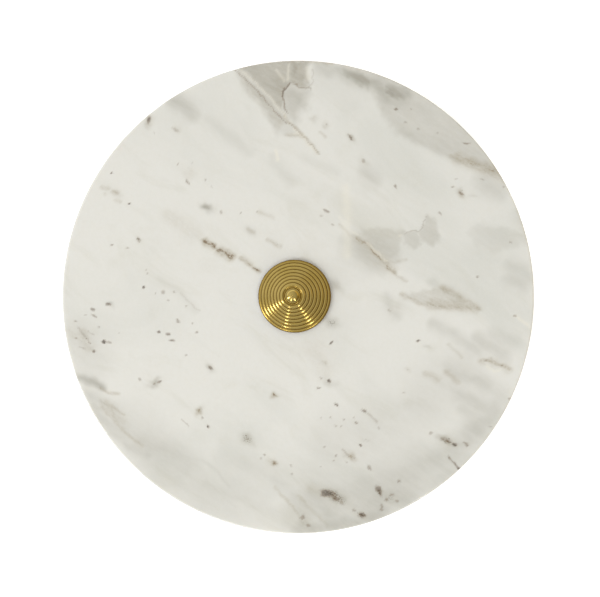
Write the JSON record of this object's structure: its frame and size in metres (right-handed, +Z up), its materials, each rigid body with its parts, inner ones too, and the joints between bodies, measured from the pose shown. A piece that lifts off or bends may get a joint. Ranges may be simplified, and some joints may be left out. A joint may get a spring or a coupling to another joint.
{
  "type": "lazy susan turntable",
  "caption": "Round marble serving plate with a beaded brass knob at its centre, turning without limit on a ball bearing ring over a smaller marble base with rubber feet.",
  "frame": {"origin": "on the turning axis, in the plane that the rubber feet rest on", "axes": "+Z up along the turning axis; +X through the base's screwdriver access hole; two of the feet lie at 45 degrees either side of +X"},
  "size_m": [0.305, 0.305, 0.061],
  "materials": {
    "white_marble": "polished, grey and brown veins and specks",
    "knob_brass": "lathe-turned and polished, slightly aged",
    "silicone": "matte, translucent",
    "zinc_steel": "bright zinc plated",
    "nylon": "natural moulded nylon",
    "insert_brass": "as machined",
    "ring_aluminium": "die cast and turned, satin",
    "ball_steel": "ground and polished",
    "foot_rubber": "matte moulded"
  },
  "bodies": {
    "base": {"base_disc": "white_marble", "base_inserts": "insert_brass", "base_screws": "zinc_steel", "outer_ring": "ring_aluminium", "rubber_foot_1": "foot_rubber", "rubber_foot_2": "foot_rubber", "rubber_foot_3": "foot_rubber", "rubber_foot_4": "foot_rubber"},
    "race": {"ball_cage": "nylon", "bearing_balls": "ball_steel"},
    "turntable": {"marble_top": "white_marble", "knob": "knob_brass", "knob_gasket": "silicone", "knob_stud": "zinc_steel", "stud_bush": "nylon", "stud_washer": "zinc_steel", "stud_lock_washer": "zinc_steel", "stud_nut": "zinc_steel", "top_inserts": "insert_brass", "top_screws": "zinc_steel", "inner_ring_lower": "ring_aluminium", "inner_ring_upper": "ring_aluminium", "ring_rivets": "ring_aluminium"}
  },
  "joints": [
    {"name": "turntable_spin", "type": "hinge", "parent": "base", "child": "turntable", "pos_m": [0, 0, 0.0215], "axis": [0, 0, 1], "continuous": true},
    {"name": "race_spin", "type": "hinge", "parent": "base", "child": "race", "pos_m": [0, 0, 0.0215], "axis": [0, 0, 1], "continuous": true}
  ],
  "couplings": [
    {"joint": "race_spin", "follows": "turntable_spin", "ratio": 0.4849}
  ]
}
